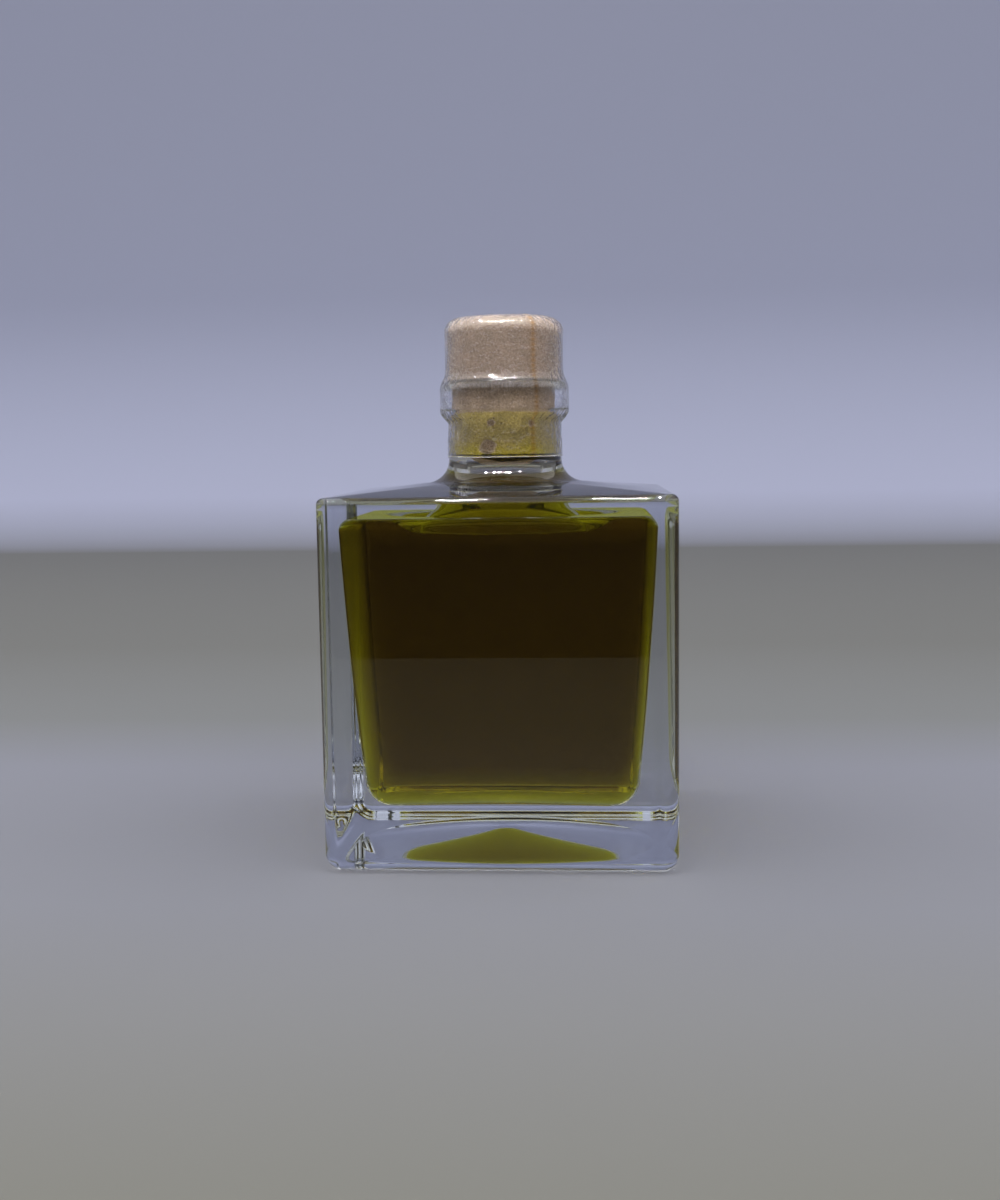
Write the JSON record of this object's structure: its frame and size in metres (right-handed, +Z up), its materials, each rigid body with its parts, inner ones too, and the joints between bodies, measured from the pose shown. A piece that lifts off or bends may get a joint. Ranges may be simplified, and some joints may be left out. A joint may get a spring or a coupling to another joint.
{
  "type": "olive oil bottle",
  "caption": "Square heavy clear glass bottle full of olive oil, with a round neck, a bar-top stopper and a clear shrink film over the neck.",
  "frame": {"origin": "middle of the foot, on the surface that the bottle stands on", "axes": "+Z up the neck; the body's square sides face X and Y"},
  "size_m": [0.076, 0.076, 0.1195],
  "materials": {
    "clear_glass": "clear and glossy",
    "olive_oil": "clear oil",
    "stopper_cork": "fine grained, matt",
    "clear_film": "clear and wrinkled"
  },
  "bodies": {
    "root": {"glass_bottle": "clear_glass", "olive_oil": "olive_oil", "stopper_head": "stopper_cork", "stopper_shank": "stopper_cork", "shrink_film": "clear_film"}
  },
  "joints": []
}
